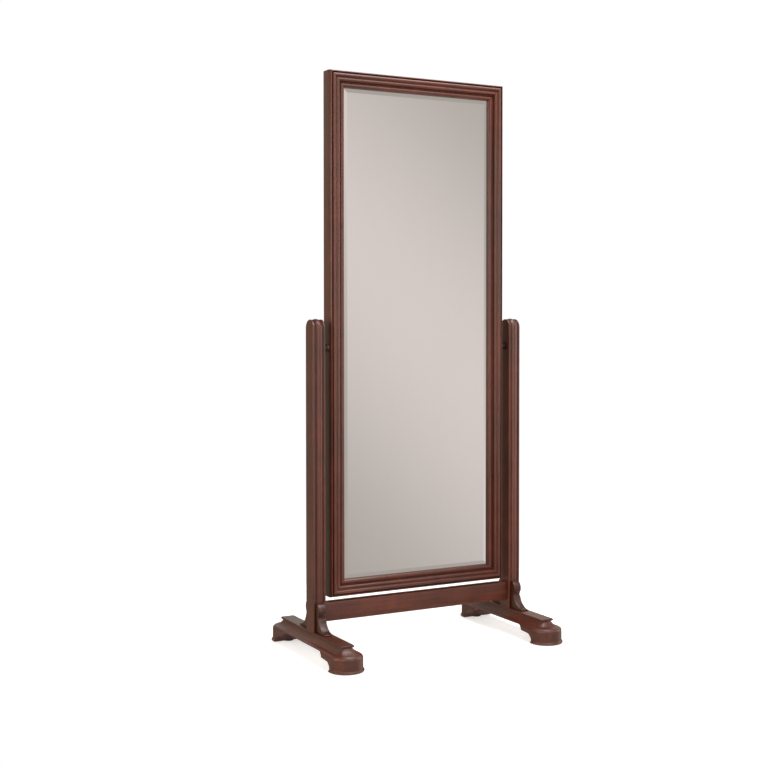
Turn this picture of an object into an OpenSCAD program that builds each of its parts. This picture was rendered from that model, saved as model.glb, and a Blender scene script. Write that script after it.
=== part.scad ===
// Cheval floor mirror: a framed mirror that tilts between two posts on trestle feet.
// Millimetres, +Z up, +X to the right as one looks into the mirror, -Y is the front.
// The origin is on the floor, at the middle of the footprint.

/* [Overall] */
// Width over the two feet
total_w = 750; // [700:10:850]
// Depth, which is the length of each foot
total_d = 490; // [450:10:540]
// Height to the top of the mirror frame
total_h = 1650; // [1500:10:1800]

/* [Mirror frame] */
// Face width of the four frame members
rail_w = 46; // [46:1:56]
// Thickness of the frame from back to front
frame_t = 50; // [50:1:54]
// Thickness of the silvered glass
glass_t = 4; // [3:1:5]
// Width of the bevel round the glass
bevel_w = 21; // [12:1:30]

/* [Stand] */
// Width of a post, seen from the front
post_w = 39; // [39:1:44]
// Depth of a post, front to back, over the reeds
post_t = 54; // [54:1:60]
// Height of the posts
post_top = 950; // [900:10:1000]
// Height of a foot to the top of its cap strip
foot_h = 70; // [70:1:76]
// Width of a foot over its flared base
pad_w = 100; // [96:2:110]
// Height of the stretcher's top edge
stretcher_top = 150; // [146:1:160]
// Depth of the stretcher's face, top edge to bottom edge
stretcher_h = 56; // [50:1:60]
// Thickness of the stretcher
stretcher_t = 25; // [22:1:28]
// Thickness of a corner bracket
bracket_t = 24; // [20:1:26]

/* [Pivot] */
// Gap between the frame and each post
pivot_gap = 18.5; // [18.5:0.5:22]
// How far the tilt axis lies under the top of the posts
pivot_drop = 82; // [70:1:100]
// Diameter of the swivel pins
pin_d = 10; // [8:1:12]

/* [Hidden] */
$fn = 64;
eps = 1;
fit_gap = 0.05;
post_x = total_w / 2 - pad_w / 2;
post_in = post_x - post_w / 2;
post_front = post_t / 2;
frame_half = post_in - pivot_gap;
frame_back = 27;
frame_bottom = stretcher_top + 10.5;
frame_mid = (frame_bottom + total_h) / 2;
frame_len = total_h - frame_bottom;
pivot_z = post_top - pivot_drop;

// Frame section: u runs from the outer edge inwards, v from the back to the front
glass_v = frame_t - 18;
rebate_u = rail_w - 9;
panel_u = rail_w - 18;
panel_v = 5;
panel_t = 4;
side_flat = 30;

// Foot section
glide_r = 14;
glide_proud = 1.5;
glide_t = 3;
side_r = pad_w / 2 - 3.5;
cap_r = 20.5;
cap_end = total_d / 2 - 41;
cap_lip = 5;
cap_over = 3;
end_y = total_d / 2 - pad_w / 2;
arch_z = 43;
pad_len = 58;

// Fasteners
dowel_r = 4;
slim_dowel_r = 3;
bolt_r = 4;
bolt_head_r = 6.5;
bolt_head_h = 5.5;
bolt_washer_r = 9;
bolt_washer_t = 1.6;
insert_r = 6.5;
insert_len = 22;
screw_r = 1.75;
screw_len = 16;
screw_head_r = 3.6;
brad_r = 0.8;
brad_len = 17;

function arc(cx, cy, rx, ry, a0, a1, n) =
  [for (i = [0:n]) let (a = a0 + (a1 - a0) * i / n) [cx + rx * cos(a), cy + ry * sin(a)]];
function bezier(p, c, q, n) =
  [for (i = [0:n]) let (t = i / n) (1 - t) * (1 - t) * p + 2 * t * (1 - t) * c + t * t * q];
function mirrored_x(points) =
  concat(points, [for (i = [len(points) - 1:-1:0]) [-points[i][0], points[i][1]]]);

// Section of a frame member: rounded side, fillet, two beads, groove and the lip over the glass
function frame_section() = let (top = frame_t, lip_u = rail_w - 6) concat(
  [[0, 0]],
  arc(4, side_flat, 4, top - 2.5 - side_flat, 180, 90, 8),
  [[7, top - 2.8]],
  arc(13.5, top - 4.5, 5.5, 4.5, 180, 12, 12),
  arc(25.4, top - 6.5, 5, 4.3, 150, 0, 12),
  [[30.4, top - 10.8], [lip_u - 5.4, top - 10.8]],
  arc(lip_u, top - 12, 5.6, 3.8, 165, 20, 10),
  [[rail_w, top - 11.6], [rail_w, glass_v], [rebate_u, glass_v]],
  [[rebate_u, panel_v], [panel_u, panel_v], [panel_u, 0]]
);

// Front half of a post's plan, from the middle plane out: shoulder, groove, reed, groove, shoulder
function post_half_plan(half_w, front) = let (shoulder = front - 2, reed = 8, groove = 2.5) concat(
  arc(-half_w + 3, shoulder - 3, 3, 3, 180, 90, 5),
  arc(-reed - groove, shoulder, groove, groove, 180, 360, 8),
  arc(0, front - 14.05, 14.05, 14.05, 124.7, 55.3, 12),
  arc(reed + groove, shoulder, groove, groove, 180, 360, 8),
  arc(half_w - 3, shoulder - 3, 3, 3, 90, 0, 5)
);

// Half section of a foot below its cap strip: base bead, side, shoulder and cove
function foot_half_section() = let (shoulder = arc(side_r - 9, 37.5, 9, 9, 0, 80, 7)) concat(
  [[0, glide_proud]],
  arc(pad_w / 2 - 2.4, glide_proud + 3, 2.4, 3, -90, 60, 5),
  arc(side_r + 1.6, glide_proud + 8.5, 1.6, 2.6, 250, 180, 4),
  shoulder,
  bezier(shoulder[7], [cap_r + 2, 48], [cap_r - cap_over, foot_h - cap_lip], 9),
  [[0, foot_h - cap_lip]]
);

// What is taken off above the cove in front of the cap strip, in Y and Z
function end_cove() = let (z0 = foot_h - cap_lip, y1 = end_y + side_r) concat(
  bezier([y1 - 6, 46.7], [cap_end + 2, 48], [cap_end - cap_over, z0], 9),
  [[y1 + eps, z0], [y1 + eps, 46.7]]
);

// Outline of the hollow under a foot, in Y and Z
function arch_half() = let (y = total_d / 2 - pad_len) concat(
  [[-y, -eps]],
  arc(-y + 22, 5, 22, 22, 180, 90, 7),
  arc(-y + 68, arch_z - 14, 14, 14, 180, 90, 6)
);

// Outline of a bracket on the front side, in Y and Z: toe, sweep, notch and nose
function bracket_outline() = let (face = -post_front, z0 = foot_h) concat(
  [[face + 5, z0], [face - 58, z0], [face - 58, z0 + 4]],
  bezier([face - 58, z0 + 4], [face - 25, z0 + 8], [face - 16, z0 + 37], 9),
  [[face - 12, z0 + 39], [face - 12, z0 + 44]],
  arc(face + 1, stretcher_top - 18, 20, 20, 215, 90, 10),
  [[face + 5, stretcher_top + 2]]
);

module wood() { color("#5a2318") children(); }
module dowel_wood() { color("#d2b48c") children(); }
module steel() { color("#9aa0a6") children(); }

// A cylinder along X that starts at x and runs outwards on either side of the object
module along_x(side, x, y, z, r, h, fn = 64) {
  translate([side * x, y, z]) rotate([0, side * 90, 0]) cylinder(r = r, h = h, $fn = fn);
}

// ---- Feet ----
module end_cove_cuts() {
  for (end = [0, 180]) rotate([0, 0, end]) rotate([90, 0, 90])
    linear_extrude(pad_w + 4, center = true) polygon(end_cove());
}

module foot_solid() {
  half = foot_half_section();
  rotate([90, 0, 0]) linear_extrude(2 * end_y, center = true) polygon(mirrored_x(half));
  for (end = [-1, 1]) translate([0, end * end_y, 0]) rotate_extrude() polygon(half);
  translate([0, 0, foot_h - cap_lip / 2]) cube([2 * cap_r, 2 * cap_end, cap_lip], center = true);
}

module arch_cut() {
  rotate([90, 0, 90]) linear_extrude(pad_w + 4, center = true) polygon(mirrored_x(arch_half()));
}

module foot(side) {
  wood() difference() {
    translate([side * post_x, 0, 0]) difference() {
      foot_solid();
      arch_cut();
      end_cove_cuts();
      translate([0, 0, arch_z - eps]) cylinder(r = bolt_washer_r + 1.5, h = 8 + eps);
      cylinder(r = bolt_r + 0.5, h = foot_h + eps);
      for (end = [-1, 1]) translate([0, end * end_y, 0]) cylinder(r = glide_r + 0.2, h = glide_t);
    }
    post_dowel_set(fit_gap);
    bracket_foot_dowels(fit_gap);
  }
}

module glides() {
  color("#1c1c1c") for (side = [-1, 1], end = [-1, 1]) translate([side * post_x, end * end_y, 0])
    cylinder(r = glide_r, h = glide_t);
}

// ---- Posts ----
module post_plan() {
  plan = post_half_plan(post_w / 2, post_front);
  polygon(concat(plan, [for (i = [len(plan) - 1:-1:0]) [plan[i][0], -plan[i][1]]]));
}

module post_top_section() {
  plan = post_half_plan(post_w / 2, post_front);
  polygon(concat([[0, -post_w / 2]], [for (p = plan) [p[1], p[0]]], [[0, post_w / 2]]));
}

module post_solid() {
  shaft_top = post_top - post_front;
  translate([0, 0, foot_h]) linear_extrude(shaft_top - foot_h) post_plan();
  translate([0, 0, shaft_top]) rotate([0, 90, 0]) rotate([0, 0, 90])
    rotate_extrude(angle = 180, $fn = 96) post_top_section();
}

module post(side) {
  wood() difference() {
    translate([side * post_x, 0, 0]) post_solid();
    along_x(side, post_in - eps, 0, pivot_z, insert_r + 0.5, insert_len + eps);
    translate([side * post_x, 0, foot_h - eps]) cylinder(r = insert_r + fit_gap, h = insert_len + 6);
    stretcher_dowel_set(fit_gap);
    post_dowel_set(fit_gap);
    bracket_post_dowels(fit_gap);
  }
}

// ---- Brackets ----
module bracket(side, face) {
  wood() difference() {
    translate([side * post_x, 0, 0]) difference() {
      if (face < 0) bracket_blank();
      else mirror([0, 1, 0]) bracket_blank();
      translate([0, 0, foot_h - eps]) linear_extrude(stretcher_top) post_plan();
    }
    bracket_post_dowels(fit_gap);
    bracket_foot_dowels(fit_gap);
  }
}

module bracket_blank() {
  rotate([90, 0, 90]) linear_extrude(bracket_t, center = true) polygon(bracket_outline());
}

// ---- Stretcher ----
module stretcher() {
  edge = 9;
  foot_edge = 1.5;
  half = stretcher_t / 2;
  wood() difference() {
    rotate([90, 0, 90]) linear_extrude(2 * post_in, center = true) polygon(mirrored_x(concat(
      [[0, stretcher_top - stretcher_h]],
      arc(half - foot_edge, stretcher_top - stretcher_h + foot_edge, foot_edge, foot_edge, -90, 0, 3),
      arc(half - edge, stretcher_top - edge, edge, edge, 0, 90, 8),
      [[0, stretcher_top]]
    )));
    stretcher_dowel_set(fit_gap);
  }
}

// ---- Dowels ----
module stretcher_dowel_set(grow = 0) {
  z_mid = stretcher_top - stretcher_h / 2;
  for (side = [-1, 1], dz = [-15, 15])
    along_x(side, post_in - 20 - grow, 0, z_mid + dz, dowel_r + grow, 38 + 2 * grow);
}

module post_dowel_set(grow = 0) {
  for (side = [-1, 1], y = [-16, 16])
    translate([side * post_x, y, foot_h - 15 - grow]) cylinder(r = dowel_r + grow, h = 35 + 2 * grow);
}

module bracket_post_dowels(grow = 0) {
  for (side = [-1, 1], end = [-1, 1])
    translate([side * post_x, end * (post_front - 14 - grow), foot_h + 62]) rotate([-end * 90, 0, 0])
      cylinder(r = slim_dowel_r + grow, h = 26 + 2 * grow);
}

module bracket_foot_dowels(grow = 0) {
  for (side = [-1, 1], end = [-1, 1])
    translate([side * post_x, end * (post_front + 24), foot_h - 11 - grow])
      cylinder(r = slim_dowel_r + grow, h = 22 + 2 * grow);
}

// ---- Bolts between the posts and the feet ----
module post_bolts() {
  head_z = arch_z + 8 - bolt_washer_t;
  steel() for (side = [-1, 1]) translate([side * post_x, 0, 0]) {
    translate([0, 0, head_z - bolt_head_h]) cylinder(r = bolt_head_r * 1.15, h = bolt_head_h, $fn = 6);
    translate([0, 0, head_z - eps]) cylinder(r = bolt_r, h = foot_h + 18 - head_z);
  }
}

module post_bolt_washers() {
  steel() for (side = [-1, 1]) translate([side * post_x, 0, arch_z + 8 - bolt_washer_t]) difference() {
    cylinder(r = bolt_washer_r, h = bolt_washer_t);
    translate([0, 0, -eps]) cylinder(r = bolt_r + 0.2, h = bolt_washer_t + 2 * eps);
  }
}

// Threaded insert with rings outside, its mouth at z = 0
module insert_solid() {
  rings = 6;
  pitch = (insert_len - 4) / rings;
  rotate_extrude() polygon(concat(
    [[bolt_r + fit_gap, 0], [insert_r, 0], [insert_r, 2]],
    [for (i = [0:rings - 1], p = [[-0.8, 0.1], [-0.8, 0.5], [0, 0.6], [0, 1]])
      [insert_r + p[0], 2 + (i + p[1]) * pitch]],
    [[insert_r - 1, insert_len], [bolt_r + fit_gap, insert_len]]
  ));
}

module post_bolt_inserts() {
  color("#b08d3c") for (side = [-1, 1]) translate([side * post_x, 0, foot_h]) insert_solid();
}

// ---- Swivels ----
module pivot_inserts() {
  color("#b08d3c") for (side = [-1, 1])
    translate([side * post_in, 0, pivot_z]) rotate([0, side * 90, 0]) insert_solid();
}

module pivot_pin(side) {
  collar_in = frame_half + 5.8;
  collar_h = pivot_gap - 7.8;
  steel() union() {
    along_x(side, frame_half - 20, 0, pivot_z, pin_d / 2, 20 + 5.8 + eps);
    along_x(side, collar_in, 0, pivot_z, 9.8, collar_h, 6);
    along_x(side, collar_in + collar_h - eps, 0, pivot_z, bolt_r, 18 + eps);
  }
}

module ring_x(side, x, r_out, r_in, h) {
  difference() {
    along_x(side, x, 0, pivot_z, r_out, h);
    along_x(side, x - eps, 0, pivot_z, r_in, h + 2 * eps);
  }
}

module pivot_flat_washers() {
  steel() for (side = [-1, 1]) ring_x(side, post_in - 2, 11, bolt_r + 0.3, 2);
}

module friction_washers() {
  color("#6b4a2b") for (side = [-1, 1]) ring_x(side, frame_half + 2.3, 11, pin_d / 2 + 0.3, 2);
}

module wave_washers() {
  steel() for (side = [-1, 1]) ring_x(side, frame_half + 4.3, 10, pin_d / 2 + 0.3, 1.5);
}

module pivot_bush(side) {
  color("#b08d3c") difference() {
    union() {
      along_x(side, frame_half - 26, 0, pivot_z, 8, 26 + eps);
      along_x(side, frame_half, 0, pivot_z, 11, 2);
    }
    along_x(side, frame_half - 22, 0, pivot_z, pin_d / 2 + fit_gap, 22 + 2 + eps);
  }
}

// ---- Mirror frame ----
// A member with mitred ends: u along +X, v along +Y, its length along Z
module mitred_member(length) {
  half = length / 2;
  intersection() {
    linear_extrude(length, center = true) polygon(frame_section());
    translate([0, frame_t + eps, 0]) rotate([90, 0, 0]) linear_extrude(frame_t + 2 * eps)
      polygon([[-eps, -half - eps], [rail_w + eps, -half + rail_w + eps],
        [rail_w + eps, half - rail_w - eps], [-eps, half + eps]]);
  }
}

// Places a member on one side of the frame: 0 is the right, -90 the top, 180 the left, 90 the bottom
module on_side(turn, across) {
  translate([0, frame_back, frame_mid]) rotate([0, turn, 0]) translate([across, 0, 0])
    rotate([0, 0, 180]) children();
}

module frame_member(turn, across, length) {
  wood() difference() {
    on_side(turn, across) mitred_member(length);
    corner_dowel_set(fit_gap);
    panel_screw_shanks(0.02);
    brad_set(0.02);
    for (side = [-1, 1]) along_x(side, frame_half - 26, 0, pivot_z, 8, 26 + eps);
  }
}

// Dowels square across the four mitres
module corner_dowel_set(grow = 0) {
  in = 20;
  for (sx = [-1, 1], sz = [-1, 1], depth = [13, 25])
    translate([sx * (frame_half - in), frame_back - depth, frame_mid + sz * (frame_len / 2 - in)])
      rotate([0, sx * sz * 135, 0])
        cylinder(r = slim_dowel_r + grow, h = 26 + 2 * grow, center = true);
}

// ---- Glass ----
module mirror_glass() {
  half_w = frame_half - rebate_u - 1;
  half_h = frame_len / 2 - rebate_u - 1;
  bevel = 1.2;
  color("#c8c3bd") translate([0, frame_back - glass_v, frame_mid]) intersection() {
    glass_slab(half_w, bevel, 2 * half_h + 2);
    rotate([0, 90, 0]) glass_slab(half_h, bevel, 2 * half_w + 2);
  }
}

// Section in X and Y with a bevel on its front edges, front face at y = 0, extruded along Z
module glass_slab(half, bevel, length) {
  linear_extrude(length, center = true) polygon([
    [-half, glass_t], [-half, bevel], [-half + bevel_w, 0],
    [half - bevel_w, 0], [half, bevel], [half, glass_t]
  ]);
}

// ---- Strips behind the glass ----
module retainer(turn, across, length) {
  color("#a8743c") difference() {
    on_side(turn, across) translate([rebate_u, glass_v - glass_t - 12, -length / 2])
      cube([rail_w - rebate_u, 12, length]);
    brad_set(0.02);
  }
}

module brad_row(turn, across, span, count) {
  for (i = [0:count - 1]) on_side(turn, across)
    translate([rail_w - 0.5, glass_v - glass_t - 6, span * ((i + 0.5) / count - 0.5)])
      rotate([0, -90, 0]) children();
}

module brad_set(grow = 0) {
  for (t = [[0, frame_half, frame_len, 6], [180, frame_half, frame_len, 6],
    [-90, frame_len / 2, 2 * frame_half, 3], [90, frame_len / 2, 2 * frame_half, 3]])
    brad_row(t[0], t[1], t[2] - 2 * rail_w - 40, t[3])
      translate([0, 0, -grow]) cylinder(r = brad_r + grow, h = brad_len + 2 * grow, $fn = 16);
}

// ---- Back panel ----
module back_panel() {
  half_w = frame_half - panel_u - 0.7;
  half_h = frame_len / 2 - panel_u - 0.7;
  color("#7a5534") difference() {
    translate([-half_w, frame_back - panel_v, frame_mid - half_h]) cube([2 * half_w, panel_t, 2 * half_h]);
    panel_screw_places() translate([0, 0, -eps]) cylinder(r = screw_r + 0.2, h = 30);
  }
}

// Screw positions along the four sides; z points out of the back
module panel_screw_places() {
  inset = panel_u + 5;
  for (t = [[0, frame_half, frame_len, 5], [180, frame_half, frame_len, 5],
    [-90, frame_len / 2, 2 * frame_half, 2], [90, frame_len / 2, 2 * frame_half, 2]])
    for (i = [0:t[3] - 1]) on_side(t[0], t[1])
      translate([inset, 19, (t[2] - 150) * ((i + 0.5) / t[3] - 0.5)]) rotate([90, 0, 0]) children();
}

module panel_screw_shanks(grow = 0) {
  top = 19 - panel_v + panel_t;
  panel_screw_places() translate([0, 0, top - screw_len - grow])
    cylinder(r = screw_r + grow, h = screw_len + grow, $fn = 24);
}

module back_panel_screws() {
  top = 19 - panel_v + panel_t;
  steel() {
    panel_screw_shanks();
    panel_screw_places() translate([0, 0, top]) cylinder(r1 = screw_head_r, r2 = screw_head_r - 1, h = 1.8);
  }
}

foot(-1);  // foot_left
foot(1);  // foot_right
post(-1);  // post_left
post(1);  // post_right
bracket(-1, -1);  // bracket_front_left
bracket(-1, 1);  // bracket_rear_left
bracket(1, -1);  // bracket_front_right
bracket(1, 1);  // bracket_rear_right
stretcher();
dowel_wood() stretcher_dowel_set();  // stretcher_dowels
dowel_wood() {  // bracket_dowels
  bracket_post_dowels();
  bracket_foot_dowels();
}
dowel_wood() post_dowel_set();  // post_dowels
post_bolts();
post_bolt_washers();
post_bolt_inserts();
glides();  // foot_glides
pivot_inserts();
pivot_pin(-1);  // pivot_pin_left
pivot_pin(1);  // pivot_pin_right
pivot_flat_washers();
wave_washers();
friction_washers();
frame_member(-90, frame_len / 2, 2 * frame_half);  // frame_top_rail
frame_member(90, frame_len / 2, 2 * frame_half);  // frame_bottom_rail
frame_member(180, frame_half, frame_len);  // frame_left_stile
frame_member(0, frame_half, frame_len);  // frame_right_stile
dowel_wood() corner_dowel_set();  // corner_dowels
mirror_glass();
retainer(-90, frame_len / 2, 2 * (frame_half - rebate_u));  // retainer_top
retainer(90, frame_len / 2, 2 * (frame_half - rebate_u));  // retainer_bottom
retainer(180, frame_half, frame_len - 2 * rail_w);  // retainer_left
retainer(0, frame_half, frame_len - 2 * rail_w);  // retainer_right
steel() brad_set();  // retainer_brads
back_panel();
back_panel_screws();
pivot_bush(-1);  // pivot_bush_left
pivot_bush(1);  // pivot_bush_right
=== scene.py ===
import math

import bmesh
import bpy
import numpy as np
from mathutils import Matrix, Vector


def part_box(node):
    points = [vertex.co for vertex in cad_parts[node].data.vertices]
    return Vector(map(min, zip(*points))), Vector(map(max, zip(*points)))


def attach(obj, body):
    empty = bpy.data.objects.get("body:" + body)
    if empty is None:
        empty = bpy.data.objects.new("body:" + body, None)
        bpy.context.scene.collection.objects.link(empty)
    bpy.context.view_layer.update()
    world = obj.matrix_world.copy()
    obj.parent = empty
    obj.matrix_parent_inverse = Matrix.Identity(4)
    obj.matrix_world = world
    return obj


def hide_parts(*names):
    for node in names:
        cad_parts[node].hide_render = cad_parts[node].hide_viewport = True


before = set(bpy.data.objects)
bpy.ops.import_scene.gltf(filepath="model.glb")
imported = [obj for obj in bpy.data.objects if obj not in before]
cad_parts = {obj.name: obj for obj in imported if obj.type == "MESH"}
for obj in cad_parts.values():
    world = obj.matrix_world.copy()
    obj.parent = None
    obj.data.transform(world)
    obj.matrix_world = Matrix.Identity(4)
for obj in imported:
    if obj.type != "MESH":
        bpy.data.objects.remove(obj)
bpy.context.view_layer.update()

MM = 0.001
SCENE = bpy.context.scene

# ---------------------------------------------------------------- sizes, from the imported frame
POST_LO, POST_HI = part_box("post_right")
FOOT_LO, FOOT_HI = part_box("foot_right")
STILE_LO, STILE_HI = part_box("frame_right_stile")
STRETCHER_LO, STRETCHER_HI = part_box("stretcher")
BRACKET_LO, BRACKET_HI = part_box("bracket_front_right")
BUSH_LO, BUSH_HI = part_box("pivot_bush_right")
PANEL_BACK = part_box("back_panel")[1].y

POST_X = (POST_LO.x + POST_HI.x) / 2
POST_HALF_W = (POST_HI.x - POST_LO.x) / 2
POST_FRONT = -POST_LO.y
FRAME_HALF_W = STILE_HI.x
FRAME_BACK = STILE_HI.y
FRAME_T = STILE_HI.y - STILE_LO.y
FRAME_MID_Z = (STILE_LO.z + STILE_HI.z) / 2
FRAME_HALF_H = (STILE_HI.z - STILE_LO.z) / 2
RAIL_W = STILE_HI.x - STILE_LO.x
PIVOT_Z = (BUSH_LO.z + BUSH_HI.z) / 2

# ---------------------------------------------------------------- sizes of the finer shapes, in mm
GLASS_SETBACK = 18
QUIRK_FLOOR = 12.6
REED_HALF_W = 8.2
REED_CROWN_R = 14.4
GROOVE_HALF_W = 2.6
CAP_HALF_W = 20.5
CAP_LIP = 6.0
CAP_OVER = 2.2
CAP_END = FOOT_HI.y / MM - 41
PAD_Y = FOOT_HI.y / MM - (FOOT_HI.x - FOOT_LO.x) / 2 / MM
ARCH_START = FOOT_HI.y / MM - 58
BRACKET_TOE = 58
BUSH_BORE_R = 8
SCREW_HEAD_SPAN = 12

# How light the planks of the feet and brackets are beside the rest, which is 1
FOOT_SHADE = 0.88
BRACKET_SHADE = 0.5


# ---------------------------------------------------------------- outlines
def arc(cx, cy, rx, ry, start, end, n):
    """Points of an ellipse's arc, in the caller's units, angles in degrees."""
    out = []
    for i in range(n + 1):
        a = math.radians(start + (end - start) * i / n)
        out.append((cx + rx * math.cos(a), cy + ry * math.sin(a)))
    return out


def bezier(p, c, q, n):
    """Points of a quadratic curve from p to q with control point c."""
    out = []
    for i in range(n + 1):
        t = i / n
        a, b, d = (1 - t) ** 2, 2 * t * (1 - t), t * t
        out.append((a * p[0] + b * c[0] + d * q[0], a * p[1] + b * c[1] + d * q[1]))
    return out


def both_sides(points):
    """A half outline and its mirror image across the second axis, as one closed loop."""
    return points + [(-p, q) for p, q in reversed(points)]


def scaled(points):
    """Points in mm, turned into metres."""
    return [(p * MM, q * MM) for p, q in points]


def frame_section():
    """Section of a frame member in mm: u from the outer edge inwards, v from the back to the front."""
    top = FRAME_T / MM
    width = RAIL_W / MM
    glass = top - GLASS_SETBACK
    lip = width - 6
    return (
        arc(1, 1, 1, 1, 270, 180, 4)
        + arc(3.6, 30, 3.6, top - 2.5 - 30, 180, 90, 20)
        + [(4.8, top - 2.6), (5.4, top - 3.2), (5.7, top - 4.4), (5.9, top - 8), (6.5, top - 8.8)]
        + [(7.8, top - 8.8), (8.4, top - 8)]
        + arc(13.5, top - 4.5, 4.9, 4.5, 184, 22, 22)
        + bezier((19.2, top - 3.8), (20.0, top - 5.2), (21.0, top - 4.4), 5)
        + arc(25.4, top - 6.5, 5, 4.3, 146, 2, 20)
        + [(30.5, top - 9.6), (30.7, top - 11.9)]
        + [(31.4, top - QUIRK_FLOOR), (33.4, top - QUIRK_FLOOR), (34.1, top - 12)]
        + arc(lip, top - 12, 5.6, 3.8, 158, 20, 16)
        + arc(width - 1, top - 11.9, 1, 1, 62, 0, 4)
        + [(width, glass), (width - 9, glass), (width - 9, 5), (width - 18, 5), (width - 18, 0)]
    )


def post_half_section():
    """Half section of a post in mm: x across, r from the middle plane out to the reed."""
    half = POST_HALF_W / MM
    front = POST_FRONT / MM
    shoulder = front - 1.8
    reed, groove = REED_HALF_W, GROOVE_HALF_W
    left = (
        [(-half, 0), (-half, shoulder - 3)]
        + arc(-half + 2.6, shoulder - 2.6, 2.6, 2.6, 180, 90, 7)
        + arc(-reed - 2 * groove - 0.5, shoulder - 0.5, 0.5, 0.5, 90, 20, 3)
        + arc(-reed - groove, shoulder - 0.8, groove, 2.9, 195, 345, 10)
        + arc(-reed + 0.8, shoulder - 1.0, 0.9, 0.9, 165, 110, 3)
    )
    crown = arc(0, front - REED_CROWN_R, REED_CROWN_R, REED_CROWN_R, 119, 61, 16)
    right = [(-p, q) for p, q in reversed(left)]
    return left + crown + right


def foot_levels():
    """
    A foot's rings from the base up to the cap, in mm: half width, height, how far the ring reaches along Y,
    how much of that is its curved end, and the power of that end's superellipse (2 is round, 16 square).
    """
    base = (FOOT_HI.x - FOOT_LO.x) / 2 / MM
    side = base - 3.5
    z0, top = FOOT_LO.z / MM, FOOT_HI.z / MM
    under = (CAP_HALF_W - CAP_OVER, top - CAP_LIP)
    bead = arc(base - 2.4, z0 + 3, 2.4, 3, -80, 62, 10)
    waist = arc(side + 1.6, z0 + 8.5, 1.6, 2.6, 248, 180, 6)
    shoulder = arc(side - 10, 37.2, 10, 10, 0, 78, 14)
    levels = [(p, q, PAD_Y + p, p, 2.0) for p, q in bead + waist + [(side, 20)] + shoulder]
    start = shoulder[-1]
    for p, q in bezier(start, (CAP_HALF_W + 2, 49), under, 20)[1:]:
        s = (p - under[0]) / (start[0] - under[0])
        reach = (CAP_END - CAP_OVER) * (1 - s) + (PAD_Y + start[0]) * s
        levels.append((p, q, reach, 12 * (1 - s) + p * s, 2.8 - 0.8 * s))
    lip = arc(CAP_HALF_W - 0.9, under[1] + 1.0, 0.9, 0.9, -90, 0, 4)
    lip += arc(CAP_HALF_W - 1.3, top - 1.3, 1.3, 1.3, 0, 90, 5)
    levels += [(p, q, CAP_END - CAP_HALF_W + p, CAP_END - PAD_Y - CAP_HALF_W + p, 16.0) for p, q in lip]
    return levels


def arch_half():
    """Half outline in mm of the arch cut out under a foot, from its low front corner to the middle."""
    y = -ARCH_START
    toe = arc(y + 22, 5, 22, 22, 180, 90, 18)
    crown = arc(y + 68, 29, 14, 14, 180, 90, 14)
    return [(y, -5)] + toe + [(y + 52, 29)] + crown


def bracket_outline():
    """Outline in mm of a bracket: distance out from the middle plane, and height."""
    face = POST_FRONT / MM
    toe = face + BRACKET_TOE
    z0, top = BRACKET_LO.z / MM, BRACKET_HI.z / MM
    return (
        [(face - 4, z0), (toe, z0), (toe, z0 + 4)]
        + bezier((toe, z0 + 4), (face + 25, z0 + 8), (face + 16.5, z0 + 37), 22)
        + [(face + 15.5, z0 + 38.4), (face + 12.4, z0 + 39.4), (face + 12.2, z0 + 44)]
        + arc(face - 1, top - 20, 20, 20, -35, 90, 26)
        + [(face - 4, top)]
    )


def stretcher_half():
    """Half outline in mm of the stretcher's section: thickness and height."""
    half = STRETCHER_HI.y / MM
    z0, top = STRETCHER_LO.z / MM, STRETCHER_HI.z / MM
    return (
        [(0, z0)]
        + arc(half - 1.6, z0 + 1.6, 1.6, 1.6, -90, 0, 5)
        + arc(half - 9, top - 9, 9, 9, 0, 90, 14)
        + [(0, top)]
    )


# ---------------------------------------------------------------- meshes
def new_object(name, verts, faces):
    """A mesh object in the scene, with doubled points joined and faces turned outwards."""
    mesh = bpy.data.meshes.new(name)
    mesh.from_pydata(verts, [], faces)
    obj = bpy.data.objects.new(name, mesh)
    SCENE.collection.objects.link(obj)
    bm = bmesh.new()
    bm.from_mesh(mesh)
    bmesh.ops.remove_doubles(bm, verts=bm.verts, dist=1e-6)
    bmesh.ops.dissolve_degenerate(bm, edges=bm.edges, dist=1e-7)
    bmesh.ops.recalc_face_normals(bm, faces=bm.faces)
    bm.to_mesh(mesh)
    bm.free()
    return obj


def grid_faces(rows, cols, closed=True):
    """Quads of a grid of rows x cols points, whose rows may each be a closed loop."""
    faces = []
    for i in range(rows - 1):
        for j in range(cols if closed else cols - 1):
            a, b = i * cols + j, i * cols + (j + 1) % cols
            faces.append((a, b, b + cols, a + cols))
    return faces


def apply_modifiers(obj):
    """Puts the mesh that the modifiers make in place of the object's own."""
    depsgraph = bpy.context.evaluated_depsgraph_get()
    mesh = bpy.data.meshes.new_from_object(obj.evaluated_get(depsgraph))
    old = obj.data
    obj.modifiers.clear()
    obj.data = mesh
    mesh.name = old.name
    bpy.data.meshes.remove(old)


def cut(obj, cutter):
    """Takes the cutter's solid out of obj and removes the cutter."""
    mod = obj.modifiers.new("cut", "BOOLEAN")
    mod.operation = "DIFFERENCE"
    mod.solver = "EXACT"
    mod.object = cutter
    apply_modifiers(obj)
    bpy.data.objects.remove(cutter)


def round_edges(obj, width, segments, angle):
    """Rounds every edge that turns by more than angle degrees."""
    mod = obj.modifiers.new("edges", "BEVEL")
    mod.width = width
    mod.segments = segments
    mod.limit_method = "ANGLE"
    mod.angle_limit = math.radians(angle)
    apply_modifiers(obj)


def smooth(obj, angle=38):
    """Smooth shading, with a crease where faces turn by more than angle degrees."""
    mesh = obj.data
    mesh.shade_smooth()
    mesh.set_sharp_from_angle(angle=math.radians(angle))


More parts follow.
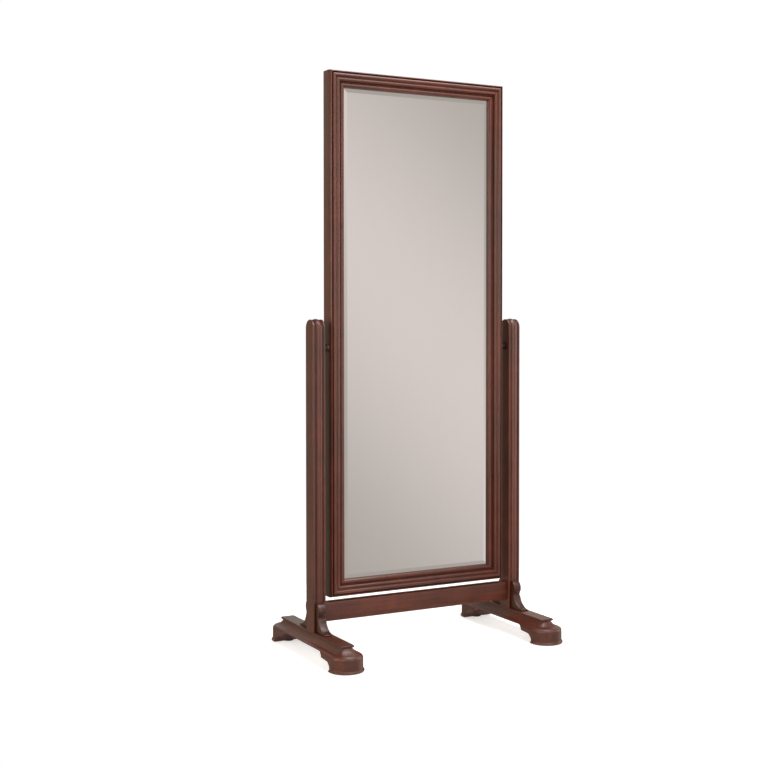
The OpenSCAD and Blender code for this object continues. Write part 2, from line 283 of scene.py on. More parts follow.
def tube_x(x0, x1, y, z, r, n=48):
    """A closed cylinder along X, used as a cutter."""
    verts = []
    for x in (x0, x1):
        for i in range(n):
            a = 2 * math.pi * i / n
            verts.append((x, y + r * math.cos(a), z + r * math.sin(a)))
    faces = grid_faces(2, n)
    faces += [tuple(range(n))[::-1], tuple(range(n, 2 * n))]
    return new_object("cutter", verts, faces)


def extruded(name, outline, place, ends):
    """A closed outline carried through the stations in ends; place(p, q, s) gives a point."""
    verts = [place(p, q, s) for s in ends for p, q in outline]
    n = len(outline)
    faces = grid_faces(len(ends), n)
    last = (len(ends) - 1) * n
    faces += [tuple(range(n))[::-1], tuple(range(last, last + n))]
    return new_object(name, verts, faces)


# ---------------------------------------------------------------- attributes that the wood reads
def set_grain(obj, axis, offset):
    """Stores each point's place along and across the grain in metres; offset picks a plank of its own."""
    mesh = obj.data
    co = np.empty(len(mesh.vertices) * 3, np.float32)
    mesh.vertices.foreach_get("co", co)
    co = co.reshape(-1, 3)
    order = {"x": (0, 1, 2), "y": (1, 0, 2), "z": (2, 0, 1)}[axis]
    grain = co[:, order] + np.array([1.37, 0.61, 0.83], np.float32) * offset
    attribute = mesh.attributes.new("grain", "FLOAT_VECTOR", "POINT")
    attribute.data.foreach_set("vector", grain.astype(np.float32).ravel())


def set_shade(obj, value):
    """Stores how light the piece's plank is, the same for all its points: 1 is the finish's own colour."""
    attribute = obj.data.attributes.new("shade", "FLOAT", "POINT")
    attribute.data.foreach_set("value", [value] * len(obj.data.vertices))


def set_hollow(obj, value):
    """Stores how deep in a groove each point lies, from 0 on open surface to 1 at the bottom of a quirk:
    the mask for the wood's painted shade.
    """
    mesh = obj.data
    attribute = mesh.attributes.new("hollow", "FLOAT", "POINT")
    attribute.data.foreach_set("value", [value(v.co) for v in mesh.vertices])


def depth_table(section, reach, depth):
    """How far each point of a section, (across, out) in mm, lies below its neighbours within reach."""
    step, window, nowhere = 0.25, 0.6, -1e3
    pts = np.array(section)
    grid = np.arange(pts[:, 0].min(), pts[:, 0].max() + step, step)
    height = np.array([pts[np.abs(pts[:, 0] - g) <= window, 1].max(initial=nowhere) for g in grid])
    missing = height == nowhere
    height[missing] = np.interp(grid[missing], grid[~missing], height[~missing])
    left = np.array([height[(grid <= g) & (grid >= g - reach)].max() for g in grid])
    right = np.array([height[(grid >= g) & (grid <= g + reach)].max() for g in grid])
    below = np.minimum(left, right) - height
    return grid, np.clip(below / depth, 0, 1)


# ---------------------------------------------------------------- wooden pieces
def finish_wood(obj, body, node, axis, plank, material, hollow=None, shade=1.0):
    """Gives a wooden piece its attributes and finish, and puts it in its CAD node's place."""
    smooth(obj)
    set_grain(obj, axis, plank)
    set_shade(obj, shade)
    set_hollow(obj, hollow or (lambda co: 0.0))
    obj.data.materials.clear()
    obj.data.materials.append(material)
    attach(obj, body)
    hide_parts(node)


def frame_member(node, side, plank, material):
    """One mitred member of the mirror frame, with a fine V where the mitres meet."""
    section = frame_section()
    upright = side in ("left", "right")
    half, across = (FRAME_HALF_H, FRAME_HALF_W) if upright else (FRAME_HALF_W, FRAME_HALF_H)
    sign = 1 if side in ("right", "top") else -1
    nick = 0.3 * MM

    def place(u, v, station):
        """A point of the section at a station: -2 and 2 are the mitred ends, -1 and 1 just inside them."""
        u, v = u * MM, v * MM
        end = half - u
        s = {-2: -end, -1: -end + nick, 1: end - nick, 2: end}.get(station, station * end)
        if abs(station) == 2 and v > FRAME_T * 0.6:
            v -= nick
        a, y = sign * (across - u), FRAME_BACK - v
        return (a, y, FRAME_MID_Z + s) if upright else (s, y, FRAME_MID_Z + a)

    obj = extruded(node + "_moulding", section, place, (-2, -1, -0.5, 0, 0.5, 1, 2))
    if upright:
        x = sign * (BUSH_HI.x - 2 * MM)
        cut(obj, tube_x(x - sign * 26 * MM, x + sign * 5 * MM, 0, PIVOT_Z, BUSH_BORE_R * MM))
    # Painted shade mask: the moulding's grooves on its front are darkened by how deep they lie
    grid, depth = depth_table([(u, v) for u, v in section if v > 17], 4.5, 4)

    def hollow(co):
        u = (across - abs(co.x if upright else co.z - FRAME_MID_Z)) / MM
        front = (FRAME_BACK - co.y) / MM > 30
        return float(np.interp(u, grid, depth)) if front else 0.0

    axis = "z" if upright else "x"
    finish_wood(obj, "mirror", node, axis, plank, material, hollow)


def post(node, sign, plank, material):
    """A post: the half section swept up the front, over the arch and down the back."""
    section = post_half_section()
    z0, spring = POST_LO.z, POST_HI.z - POST_FRONT
    path = [("front", z0 + (spring - z0) * i / 4) for i in range(4)]
    path += [("arch", math.radians(180 * i / 56)) for i in range(57)]
    path += [("back", spring + (z0 - spring) * i / 4) for i in range(1, 5)]
    verts = []
    for kind, t in path:
        for x, r in section:
            r *= MM
            if kind == "arch":
                y, z = -r * math.cos(t), spring + r * math.sin(t)
            else:
                y, z = (-r if kind == "front" else r), t
            verts.append((sign * (POST_X + x * MM), y, z))
    cols = len(section)
    faces = grid_faces(len(path), cols, closed=False)
    last = (len(path) - 1) * cols
    faces.append((*range(cols), *range(last + cols - 2, last, -1)))
    obj = new_object(node + "_reeded", verts, faces)
    # Painted shade mask: the grooves beside the reed are darkened by how deep they lie
    grid, depth = depth_table(section, 5, 3)

    def hollow(co):
        r = abs(co.y) if co.z < spring else math.hypot(co.y, co.z - spring)
        x = (abs(co.x) - POST_X) / MM
        return float(np.interp(x, grid, depth)) if r > POST_FRONT - 6 * MM else 0.0

    finish_wood(obj, "stand", node, "z", plank, material, hollow)


def foot(node, sign, plank, material):
    """A foot: rounded pads and a cove that runs up to the square-ended cap strip, hollowed underneath."""
    half_turn = [math.radians(-90 + 180 * i / 40) for i in range(41)]
    straight = [PAD_Y - 2 * PAD_Y * i / 24 for i in range(1, 24)]

    def ring(w, reach, depth, power):
        """The plan at one level: straight sides and an end that is a superellipse w wide and depth long."""
        points = []
        for end in (1, -1):
            for a in half_turn:
                s, c = math.sin(a), math.cos(a)
                r = (abs(s / w) ** power + abs(c / depth) ** power) ** (-1 / power)
                points.append((end * r * s, end * (reach - depth + r * c)))
            points += [(end * w, end * y) for y in straight]
        return points

    loops = [(z, ring(w, reach, depth, power)) for w, z, reach, depth, power in foot_levels()]
    verts = [(sign * POST_X + x * MM, y * MM, z * MM) for z, loop in loops for x, y in loop]
    n = len(loops[0][1])
    faces = grid_faces(len(loops), n)
    last = (len(loops) - 1) * n
    faces += [tuple(range(n)), tuple(range(last, last + n))]
    obj = new_object(node + "_trestle", verts, faces)

    reach = 60 * MM
    outline = scaled(both_sides(arch_half()))
    hollow_cutter = extruded(
        "cutter", outline, lambda p, q, s: (sign * POST_X + s, p, q), (-reach, reach)
    )
    cut(obj, hollow_cutter)
    round_edges(obj, 0.7 * MM, 2, 50)
    # Painted shadow: a band just under the cap strip's lip is darkened, fading out 3 mm above and below it
    lip_z = FOOT_HI.z - (CAP_LIP + 0.5) * MM

    def hollow(co):
        return max(0.0, 1 - abs(co.z - lip_z) / (3 * MM)) * 0.8

    finish_wood(obj, "stand", node, "y", plank, material, hollow, FOOT_SHADE)


def bracket(node, sign, end, plank, material):
    """A scrolled bracket against the front (end -1) or the rear (end 1) of a post."""
    half = (BRACKET_HI.x - BRACKET_LO.x) / 2
    outline = scaled(bracket_outline())
    obj = extruded(
        node + "_scroll", outline, lambda p, q, s: (sign * POST_X + s, end * p, q), (-half, half)
    )
    round_edges(obj, 1.4 * MM, 3, 50)
    finish_wood(obj, "stand", node, "z", plank, material, shade=BRACKET_SHADE)


def stretcher(plank, material):
    """The cross rail between the posts, with rounded top edges."""
    outline = scaled(both_sides(stretcher_half()))
    ends = [STRETCHER_LO.x + (STRETCHER_HI.x - STRETCHER_LO.x) * i / 8 for i in range(9)]
    obj = extruded("stretcher_rail", outline, lambda p, q, s: (s, p, q), ends)
    finish_wood(obj, "stand", "stretcher", "x", plank, material)


# ---------------------------------------------------------------- screws in the back
# Radius and height above the panel, in mm, of the rings of a screw's head
SCREW_HEAD = ((3.6, -0.2), (3.6, 0.5), (3.4, 1.0), (2.9, 1.4), (2.2, 1.65))
# Scale, and height above the panel in mm, of the mouth and floor of its cross recess
SCREW_RECESS = ((1.0, 1.75), (0.85, 0.7))


def panel_screws(material):
    """Pan-head screws with a cross recess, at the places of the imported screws' heads."""
    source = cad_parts["back_panel_screws"].data
    head_y = max(v.co.y for v in source.vertices)
    rim = [v.co for v in source.vertices if abs(v.co.y - head_y) < 0.05 * MM]
    centres = []
    for co in rim:
        if all(math.hypot(co.x - c[0], co.z - c[1]) > SCREW_HEAD_SPAN * MM for c in centres):
            near = [p for p in rim if math.hypot(p.x - co.x, p.z - co.z) < SCREW_HEAD_SPAN * MM]
            centres.append((sum(p.x for p in near) / len(near), sum(p.z for p in near) / len(near)))
    verts, faces = [], []
    count = 32
    for index, (cx, cz) in enumerate(centres):
        start = len(verts)
        turn = math.radians(37 * index)
        for r, h in SCREW_HEAD:
            for i in range(count):
                a = 2 * math.pi * i / count + turn
                verts.append((cx + r * MM * math.cos(a), PANEL_BACK + h * MM, cz + r * MM * math.sin(a)))
        for scale, h in SCREW_RECESS:
            for i in range(count):
                a = 2 * math.pi * i / count + turn
                wide = abs(math.cos(2 * (a - turn))) ** 3
                r = (0.55 + 1.15 * wide) * scale * MM
                verts.append((cx + r * math.cos(a), PANEL_BACK + h * MM, cz + r * math.sin(a)))
        levels = len(SCREW_HEAD) + len(SCREW_RECESS)
        faces += [tuple(start + k for k in f) for f in grid_faces(levels, count)]
        last = start + (levels - 1) * count
        faces += [tuple(range(start, start + count)), tuple(range(last, last + count))]
    obj = new_object("panel_screws", verts, faces)
    smooth(obj, 30)
    obj.data.materials.append(material)
    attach(obj, "mirror")
    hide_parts("back_panel_screws")


# ---------------------------------------------------------------- node trees
# A Mix node has sockets of the same name for each type of data: these are the colours' places
MIX_A, MIX_B, MIX_RESULT = 6, 7, 2


class Tree:
    """The nodes of a material or world, with a short call for each kind of node that is used."""

    def __init__(self, owner, shader="Principled BSDF"):
        owner.use_nodes = True
        self.owner = owner
        self.nodes = owner.node_tree.nodes
        self.links = owner.node_tree.links
        self.shader = self.nodes[shader]

    def put(self, socket, value):
        """Links a socket to another, or sets its value."""
        if isinstance(value, bpy.types.NodeSocket):
            self.links.new(value, socket)
        else:
            socket.default_value = value

    def coat(self, **values):
        """Sets sockets of the main shader, named with _ for spaces."""
        for name, value in values.items():
            self.put(self.shader.inputs[name.replace("_", " ")], value)

    def attribute(self, name, output):
        """An attribute stored on the mesh's points."""
        node = self.nodes.new("ShaderNodeAttribute")
        node.attribute_name = name
        return node.outputs[output]

    def place(self):
        """The piece's own coordinates, in metres."""
        return self.nodes.new("ShaderNodeTexCoord").outputs["Object"]

    def math(self, operation, a, b):
        """A number made from two."""
        node = self.nodes.new("ShaderNodeMath")
        node.operation = operation
        self.put(node.inputs[0], a)
        self.put(node.inputs[1], b)
        return node.outputs[0]

    def vector(self, operation, a, b):
        """A vector or colour made from two."""
        node = self.nodes.new("ShaderNodeVectorMath")
        node.operation = operation
        self.put(node.inputs[0], a)
        self.put(node.inputs[1], b)
        return node.outputs[0]

    def noise(self, where, stretch, detail=2.0, rough=0.5, output="Fac"):
        """Noise whose cells are 1/stretch metres along each direction of where."""
        node = self.nodes.new("ShaderNodeTexNoise")
        node.inputs["Scale"].default_value = 1.0
        node.inputs["Detail"].default_value = detail
        node.inputs["Roughness"].default_value = rough
        self.put(node.inputs["Vector"], self.vector("MULTIPLY", where, stretch))
        return node.outputs[output]

    def cells(self, where, stretch):
        """Distance to the nearest of scattered points, 1/stretch metres apart."""
        node = self.nodes.new("ShaderNodeTexVoronoi")
        node.inputs["Scale"].default_value = 1.0
        self.put(node.inputs["Vector"], self.vector("MULTIPLY", where, stretch))
        return node.outputs["Distance"]

    def remap(self, value, low, high, to_low, to_high):
        """The value carried from one range to another, and held within it."""
        node = self.nodes.new("ShaderNodeMapRange")
        self.put(node.inputs["Value"], value)
        self.put(node.inputs["From Min"], low)
        self.put(node.inputs["From Max"], high)
        self.put(node.inputs["To Min"], to_low)
        self.put(node.inputs["To Max"], to_high)
        return node.outputs["Result"]

    def ramp(self, value, *stops):
        """A colour ramp through (position, colour) stops."""
        node = self.nodes.new("ShaderNodeValToRGB")
        elements = node.color_ramp.elements
        while len(elements) < len(stops):
            elements.new(0.5)
        for element, (position, colour) in zip(elements, stops):
            element.position = position
            element.color = (*colour, 1)
        self.put(node.inputs["Fac"], value)
        return node.outputs["Color"]

    def mix(self, share, a, b):
        """Colour a where share is 0, and colour b where it is 1."""
        node = self.nodes.new("ShaderNodeMix")
        node.data_type = "RGBA"
        self.put(node.inputs["Factor"], share)
        self.put(node.inputs[MIX_A], a)
        self.put(node.inputs[MIX_B], b)
        return node.outputs[MIX_RESULT]

    def bump(self, height, distance, strength, under=None):
        """A bump of the given distance in metres, over the bump under it."""
        node = self.nodes.new("ShaderNodeBump")
        self.put(node.inputs["Height"], height)
        node.inputs["Distance"].default_value = distance
        node.inputs["Strength"].default_value = strength
        if under is not None:
            self.put(node.inputs["Normal"], under)
        return node.outputs["Normal"]


# ---------------------------------------------------------------- finishes
PORE_BROWN = (0.014, 0.0035, 0.002, 1)
# Dark brown that grooves and the underside of the feet's cap lip are painted towards, as painted shade
PAINTED_SHADE_BROWN = (0.010, 0.0030, 0.002, 1)


def mahogany(name):
    """Dark stained mahogany under satin lacquer: tone, ribbon figure, streaks, pores, and painted shade
    darkening its quirks.
    """
    t = Tree(bpy.data.materials.new(name))
    grain = t.attribute("grain", "Vector")
    hollow = t.attribute("hollow", "Fac")
    shade = t.attribute("shade", "Fac")
    sway = t.noise(grain, (3.0, 7.0, 7.0), 2, output="Color")
    sway = t.vector("MULTIPLY", t.vector("SUBTRACT", sway, (0.5, 0.5, 0.5)), (0.0, 0.016, 0.016))
    lines = t.vector("ADD", grain, sway)

    drift = t.noise(grain, (2.6, 14.0, 14.0), 2)
    ribbon = t.noise(lines, (24.0, 17.0, 17.0), 3, 0.6)
    streaks = t.noise(lines, (5.0, 150.0, 150.0), 5, 0.65)
    fine = t.noise(lines, (16.0, 800.0, 800.0), 3, 0.6)
    pores = t.noise(lines, (90.0, 1900.0, 1900.0), 2, 0.6)

    tone = t.math("ADD", t.math("MULTIPLY", drift, 0.26), t.math("MULTIPLY", streaks, 0.36))
    tone = t.math("ADD", tone, t.math("MULTIPLY", ribbon, 0.22))
    tone = t.math("ADD", tone, t.math("MULTIPLY", fine, 0.16))
    colour = t.ramp(
        tone,
        (0.34, (0.032, 0.0054, 0.0018)),
        (0.45, (0.060, 0.0102, 0.0031)),
        (0.53, (0.082, 0.0140, 0.0040)),
        (0.66, (0.142, 0.0265, 0.0068)),
    )
    colour = t.vector("MULTIPLY", colour, shade)
    pore = t.remap(pores, 0.60, 0.70, 0.0, 1.0)
    colour = t.mix(t.math("MULTIPLY", pore, 0.40), colour, PORE_BROWN)
    # Painted shade: deep grooves and the band under the feet's cap lip are mixed towards a dark brown; the
    # same mask also dulls the gloss below
    colour = t.mix(t.math("MULTIPLY", hollow, 0.26), colour, PAINTED_SHADE_BROWN)

    rough = t.remap(streaks, 0.3, 0.7, 0.37, 0.43)
    rough = t.math("ADD", rough, t.math("MULTIPLY", hollow, 0.14))
    rough = t.math("ADD", rough, t.math("MULTIPLY", pore, 0.10))
    lacquer = t.noise(grain, (160.0, 220.0, 220.0), 3)
    height = t.math("SUBTRACT", t.math("MULTIPLY", fine, 0.5), t.math("MULTIPLY", pore, 0.6))
    normal = t.bump(height, 0.00012, 0.6)
    normal = t.bump(lacquer, 0.00012, 0.25, normal)
    t.coat(Base_Color=colour, Roughness=rough, Normal=normal, IOR=1.5, Specular_IOR_Level=0.62)
    t.coat(Coat_Weight=0.06, Coat_Roughness=0.22, Coat_IOR=1.5)
    return t.owner


def raw_wood(name, pale, dark, along):
    """Unfinished wood for dowels and hidden strips; along is its stretch in the piece's coordinates."""
    t = Tree(bpy.data.materials.new(name))
    where = t.place()
    streaks = t.noise(where, along, 4, 0.6)
    blotch = t.noise(where, (22.0, 22.0, 22.0), 2)
    fuzz = t.noise(where, (1300.0, 1300.0, 1300.0), 2)
    tone = t.math("ADD", t.math("MULTIPLY", streaks, 0.7), t.math("MULTIPLY", blotch, 0.3))
    colour = t.ramp(tone, (0.34, dark), (0.62, pale))
    height = t.math("ADD", streaks, t.math("MULTIPLY", fuzz, 0.4))
    t.coat(Base_Color=colour, Roughness=t.remap(fuzz, 0.3, 0.7, 0.66, 0.82))
    t.coat(Normal=t.bump(height, 0.0003, 0.5), IOR=1.45)
    return t.owner


def hardboard(name):
    """Brown pressed-fibre board: short fibres, dark flecks and a faintly polished face."""
    t = Tree(bpy.data.materials.new(name))
    where = t.place()
    fibres = t.noise(where, (420.0, 420.0, 420.0), 5, 0.7)
    cloud = t.noise(where, (11.0, 11.0, 11.0), 3)
    flecks = t.remap(t.noise(where, (900.0, 300.0, 700.0), 2), 0.62, 0.72, 0.0, 1.0)
    tone = t.math("ADD", t.math("MULTIPLY", fibres, 0.80), t.math("MULTIPLY", cloud, 0.20))
    colour = t.ramp(
        tone, (0.36, (0.150, 0.078, 0.036)), (0.50, (0.225, 0.124, 0.060)), (0.64, (0.310, 0.185, 0.096))
    )
    colour = t.mix(t.math("MULTIPLY", flecks, 0.5), colour, (0.075, 0.036, 0.017, 1))
    t.coat(Base_Color=colour, Roughness=t.remap(cloud, 0.3, 0.7, 0.46, 0.60))
    t.coat(Normal=t.bump(fibres, 0.0002, 0.5), IOR=1.48)
    return t.owner


def silvered_glass(name):
    """Silvered float glass: a clean reflection, with a trace of wiping marks in its gloss."""
    t = Tree(bpy.data.materials.new(name))
    where = t.place()
    wipe = t.noise(where, (9.0, 9.0, 3.0), 4, 0.6)
    specks = t.remap(t.noise(where, (700.0, 700.0, 700.0), 1), 0.74, 0.80, 0.0, 1.0)
    colour = t.mix(t.remap(wipe, 0.3, 0.7, 0.0, 0.35), (0.86, 0.87, 0.865, 1), (0.84, 0.845, 0.835, 1))
    rough = t.math("ADD", t.remap(wipe, 0.35, 0.75, 0.012, 0.032), t.math("MULTIPLY", specks, 0.06))
    t.coat(Base_Color=colour, Metallic=1.0, Roughness=rough)
    t.coat(Normal=t.bump(specks, 0.00001, 0.3), Coat_Weight=0.5, Coat_Roughness=0.01)
    return t.owner


def metal(name, pale, dark, rough_low, rough_high, marks):
    """Plated or turned metal: cloudy plating, fine tool marks and small dark pits."""
    t = Tree(bpy.data.materials.new(name))
    where = t.place()
    cloud = t.noise(where, (260.0, 260.0, 260.0), 3)
    tool = t.noise(where, marks, 3, 0.6)
    pits = t.remap(t.cells(where, (1400.0, 1400.0, 1400.0)), 0.0, 0.22, 1.0, 0.0)
    tone = t.math("ADD", t.math("MULTIPLY", cloud, 0.6), t.math("MULTIPLY", tool, 0.4))
    colour = t.ramp(tone, (0.35, dark), (0.62, pale))
    colour = t.mix(t.math("MULTIPLY", pits, 0.4), colour, (*[c * 0.5 for c in dark], 1))
    height = t.math("SUBTRACT", tool, t.math("MULTIPLY", pits, 0.5))
    t.coat(Base_Color=colour, Metallic=1.0, Roughness=t.remap(tone, 0.35, 0.65, rough_low, rough_high))
    t.coat(Normal=t.bump(height, 0.00006, 0.5))
    return t.owner


def moulded(name, pale, dark, rough, sheen):
    """Fibre or plastic: a fine moulded grain, a slow drift of tone and scuffs."""
    t = Tree(bpy.data.materials.new(name))
    where = t.place()
    grain = t.noise(where, (1500.0, 1500.0, 1500.0), 3, 0.6)
    drift = t.noise(where, (90.0, 90.0, 90.0), 2)
    scuffs = t.remap(t.noise(where, (90.0, 700.0, 400.0), 3), 0.60, 0.70, 0.0, 1.0)
    tone = t.math("ADD", t.math("MULTIPLY", grain, 0.4), t.math("MULTIPLY", drift, 0.6))
    colour = t.mix(t.math("MULTIPLY", scuffs, 0.3), t.ramp(tone, (0.36, dark), (0.62, pale)), (*pale, 1))
    t.coat(Base_Color=colour, Roughness=t.remap(tone, 0.35, 0.65, rough, rough + 0.14))
    t.coat(Normal=t.bump(grain, 0.00008, 0.5), Sheen_Weight=sheen, Sheen_Roughness=0.5)
    return t.owner


# ---------------------------------------------------------------- the object
STAND_WOOD = mahogany("stand_mahogany")
FRAME_WOOD = mahogany("frame_mahogany")

BEECH = raw_wood("raw_beech", (0.62, 0.44, 0.26), (0.44, 0.28, 0.15), (260.0, 260.0, 260.0))
SOFTWOOD = raw_wood("stained_softwood", (0.46, 0.27, 0.135), (0.27, 0.14, 0.065), (160.0, 160.0, 160.0))
HARDBOARD = hardboard("brown_hardboard")
GLASS = silvered_glass("silvered_glass")
PLATED = (900.0, 900.0, 2600.0)
TURNED = (2600.0, 500.0, 500.0)
ZINC = metal("zinc_plate", (0.62, 0.63, 0.64), (0.42, 0.43, 0.45), 0.24, 0.42, PLATED)
BLACK_ZINC = metal("black_zinc_plate", (0.070, 0.066, 0.062), (0.030, 0.029, 0.028), 0.40, 0.55, PLATED)
AGED_BRASS = metal("aged_brass", (0.130, 0.082, 0.036), (0.060, 0.036, 0.016), 0.42, 0.58, TURNED)
BRASS = metal("turned_brass", (0.72, 0.54, 0.24), (0.50, 0.34, 0.12), 0.22, 0.40, TURNED)
FIBRE = moulded("vulcanised_fibre", (0.150, 0.080, 0.052), (0.080, 0.038, 0.026), 0.55, 0.10)
PLASTIC = moulded("glide_plastic", (0.046, 0.045, 0.044), (0.022, 0.022, 0.022), 0.46, 0.05)

SIDES = (("left", -1), ("right", 1))


def build_frame():
    """The four members of the mirror frame, each from its own plank."""
    for plank, side in enumerate(("top", "bottom", "left", "right")):
        node = "frame_" + side + ("_rail" if side in ("top", "bottom") else "_stile")
        frame_member(node, side, plank + 1, FRAME_WOOD)


def build_stand():
    """The posts, feet, brackets and stretcher."""
    for plank, (side, sign) in enumerate(SIDES):
        post("post_" + side, sign, 6 + plank, STAND_WOOD)
        foot("foot_" + side, sign, 9 + plank, STAND_WOOD)
        bracket("bracket_front_" + side, sign, -1, 12 + plank, STAND_WOOD)
        bracket("bracket_rear_" + side, sign, 1, 15 + plank, STAND_WOOD)
    stretcher(18, STAND_WOOD)


# Finish, slot and names of the CAD nodes that stay
CARRIED_OVER = (
    (GLASS, "mirror", ("mirror_glass",)),
    (HARDBOARD, "back_board", ("back_panel",)),
    (SOFTWOOD, "raw_strip", ("retainer_top", "retainer_bottom", "retainer_left", "retainer_right")),
    (BEECH, "dowel_wood", ("stretcher_dowels", "bracket_dowels", "post_dowels", "corner_dowels")),
    (ZINC, "zinc_steel", ("post_bolts", "post_bolt_washers", "retainer_brads")),
    (BLACK_ZINC, "zinc_steel", ("pivot_pin_left", "pivot_pin_right", "pivot_flat_washers", "wave_washers")),
    (BRASS, "brass", ("post_bolt_inserts", "pivot_inserts")),
    (AGED_BRASS, "brass", ("pivot_bush_left", "pivot_bush_right")),
    (FIBRE, "fibre", ("friction_washers",)),
    (PLASTIC, "glide_plastic", ("foot_glides",)),
)


def finish_cad_nodes():
    """Gives each CAD node that stays a finish of its own."""
    for material, slot, nodes in CARRIED_OVER:
        for name in nodes:
            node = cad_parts[name]
            node.data.materials.clear()
            node.data.materials.append(material)


# ---------------------------------------------------------------- studio
# The floor's sizes in metres: it is solid out to one radius and clear from another
FLOOR_R = 2.2
FLOOR_HUB_R = 0.02
FLOOR_RINGS = 24
FLOOR_SOLID_R = 0.75
FLOOR_CLEAR_R = 1.35
FLOOR_GLOW = 0.55


def pale_floor():
    """A plain pale floor that fades into the studio's white away from the object."""
    rings = [FLOOR_HUB_R + (FLOOR_R - FLOOR_HUB_R) * (i / FLOOR_RINGS) for i in range(FLOOR_RINGS + 1)]
    count = 96
    verts = []
    for r in rings:
        for i in range(count):
            a = 2 * math.pi * i / count
            verts.append((r * math.cos(a), r * math.sin(a), 0))
    faces = grid_faces(len(rings), count)
    faces.append(tuple(range(count)))
    floor = new_object("studio_floor", verts, faces)
    t = Tree(bpy.data.materials.new("floor_paint"))
    where = t.place()
    length = t.nodes.new("ShaderNodeVectorMath")
    length.operation = "LENGTH"
    t.put(length.inputs[0], where)
    mottle = t.noise(where, (5.0, 5.0, 5.0), 2)
    fade = t.remap(length.outputs["Value"], FLOOR_SOLID_R, FLOOR_CLEAR_R, 1.0, 0.0)
    t.coat(Base_Color=t.ramp(mottle, (0.3, (0.90, 0.90, 0.90)), (0.7, (0.93, 0.93, 0.93))))
    t.coat(Roughness=0.9, Alpha=fade, Emission_Color=(1, 1, 1, 1), Emission_Strength=FLOOR_GLOW)
    t.coat(Specular_IOR_Level=0.1)
    floor.data.materials.append(t.owner)
    floor.visible_glossy = False


# Directions from the object to where the studio's light or shade lies, and the colour there
AHEAD, AHEAD_COLOUR = (0, -1, 0), (0.34, 0.31, 0.265, 1)
BEHIND, BEHIND_COLOUR = (0.48, 0.87, 0.0), (0.95, 0.96, 0.86, 1)
LOW_COLOUR = (0.10, 0.085, 0.07, 1)
LEFT, LEFT_COLOUR = (-1, 0.3, 0), (0.35, 0.36, 0.28, 1)
RIGHT_COLOUR = (0.85, 0.83, 0.78, 1)
ABOVE, ABOVE_COLOUR = (0, 0, 1), (0.20, 0.19, 0.18, 1)

# The part of the wall that the mirror faces: a soft diagonal ridge of light, and the wall beside it
FACED = (0.48, -0.877, -0.015)
RIDGE_NORMAL = (0.62, 0.34, 0.707)
RIDGE_REACH = 0.2
RIDGE_COLOUR = (0.766, 0.686, 0.653, 1)
BESIDE_COLOUR = (0.46, 0.42, 0.385, 1)

# What the camera itself sees around the object
BACKDROP_COLOUR = (1.02, 1.02, 1.02, 1)


def studio_world():
    """A soft studio: pale to the right and behind, dimmer elsewhere, with a wall that the mirror faces."""
    world = bpy.data.worlds.new("studio")
    SCENE.world = world
    t = Tree(world, "Background")
    where = t.nodes.new("ShaderNodeTexCoord").outputs["Generated"]

    def towards(direction):
        """How nearly a direction of view is the one given, from -1 to 1."""
        node = t.nodes.new("ShaderNodeVectorMath")
        node.operation = "DOT_PRODUCT"
        t.put(node.inputs[0], where)
        t.put(node.inputs[1], Vector(direction).normalized())
        return node.outputs["Value"]

    def rise(value, low, high):
        """A smooth step from 0 at low to 1 at high."""
        node = t.nodes.new("ShaderNodeMapRange")
        node.interpolation_type = "SMOOTHSTEP"
        t.put(node.inputs["Value"], value)
        t.put(node.inputs["From Min"], low)
        t.put(node.inputs["From Max"], high)
        return node.outputs["Result"]

    ridge = t.math("ABSOLUTE", towards(RIDGE_NORMAL), 0.0)
    faced = t.mix(rise(ridge, 0.0, RIDGE_REACH), RIDGE_COLOUR, BESIDE_COLOUR)
    around = t.mix(rise(towards(LEFT), 0.0, 0.6), RIGHT_COLOUR, LEFT_COLOUR)
    behind = t.mix(rise(towards(ABOVE), 0.02, 0.20), LOW_COLOUR, BEHIND_COLOUR)
    around = t.mix(rise(towards(BEHIND), 0.62, 0.90), around, behind)
    around = t.mix(rise(towards(AHEAD), 0.15, 0.55), around, AHEAD_COLOUR)
    around = t.mix(rise(towards(ABOVE), 0.35, 0.80), around, ABOVE_COLOUR)
    around = t.mix(rise(towards(FACED), 0.93, 0.975), around, faced)
    seen = t.nodes.new("ShaderNodeLightPath").outputs["Is Camera Ray"]
    t.put(t.shader.inputs["Color"], t.mix(seen, around, BACKDROP_COLOUR))


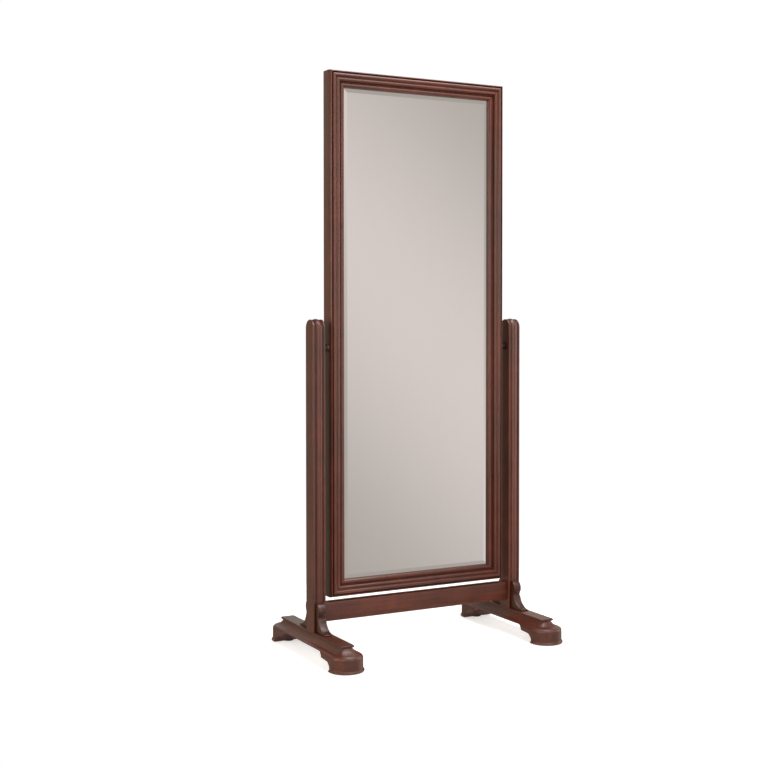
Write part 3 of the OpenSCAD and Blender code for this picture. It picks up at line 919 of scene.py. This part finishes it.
def soft_light(name, place, target, size, radiance, colour):
    """A rectangular softbox, given by its radiance, so its size doesn't change how bright it looks."""
    data = bpy.data.lights.new(name, "AREA")
    data.shape = "RECTANGLE"
    data.size, data.size_y = size
    data.energy = radiance * math.pi * size[0] * size[1]
    data.color = colour
    light = bpy.data.objects.new(name, data)
    light.location = place
    light.visible_camera = False
    light.rotation_euler = (Vector(target) - Vector(place)).to_track_quat("-Z", "Y").to_euler()
    SCENE.collection.objects.link(light)


# Name, place, target, size, radiance and colour of each softbox, in metres
SOFTBOXES = (
    ("overhead", (0.6, -0.3, 3.2), (0, 0, 0.6), (1.8, 1.4), 7.0, (1, 0.90, 0.89)),
    ("overhead_front", (-0.35, -0.95, 3.2), (0, 0, 0.1), (1.1, 0.7), 5.5, (1, 0.87, 0.83)),
    ("top_front", (0.8, -2.2, 3.0), (0, 0, 0.9), (1.8, 1.2), 4.1, (1, 0.90, 0.85)),
    ("front_left", (-2.5, -2.2, 1.6), (0, 0, 0.8), (2.1, 2.6), 2.8, (1, 0.90, 0.81)),
    ("front_middle", (0.1, -3.4, 1.0), (0, 0, 0.9), (1.2, 2.2), 2.9, (1, 0.95, 0.88)),
    ("front_right", (3.2, -1.2, 1.4), (0, 0, 0.9), (1.6, 2.6), 1.7, (1, 0.94, 0.84)),
    ("left", (-3.0, 0.3, 1.3), (0, 0, 0.8), (1.5, 2.2), 2.8, (1, 0.98, 0.90)),
    ("right", (3.0, -0.6, 1.2), (0, 0, 0.8), (1.5, 2.2), 0.8, (1, 0.98, 0.95)),
)

# The view: place in metres, angles in degrees, lens and sensor in mm
EYE = Vector((-1.867, -3.380, 0.962))
YAW = 28.73
PITCH = -1.4
LENS = 61.77
SENSOR = 36
SHIFT_X = -0.037
SHIFT_Y = -0.0485


def camera():
    """The one camera, to the left of the object's front and a little above its middle."""
    data = bpy.data.cameras.new("view")
    data.sensor_width = SENSOR
    data.lens = LENS
    data.shift_x, data.shift_y = SHIFT_X, SHIFT_Y
    cam = bpy.data.objects.new("view", data)
    cam.location = EYE
    cam.rotation_euler = (math.radians(90 + PITCH), 0, math.radians(-YAW))
    SCENE.collection.objects.link(cam)
    SCENE.camera = cam


build_frame()
build_stand()
panel_screws(ZINC)
finish_cad_nodes()
pale_floor()
studio_world()
for softbox in SOFTBOXES:
    soft_light(*softbox)
camera()
SCENE.view_settings.view_transform = "Standard"
SCENE.view_settings.look = "None"
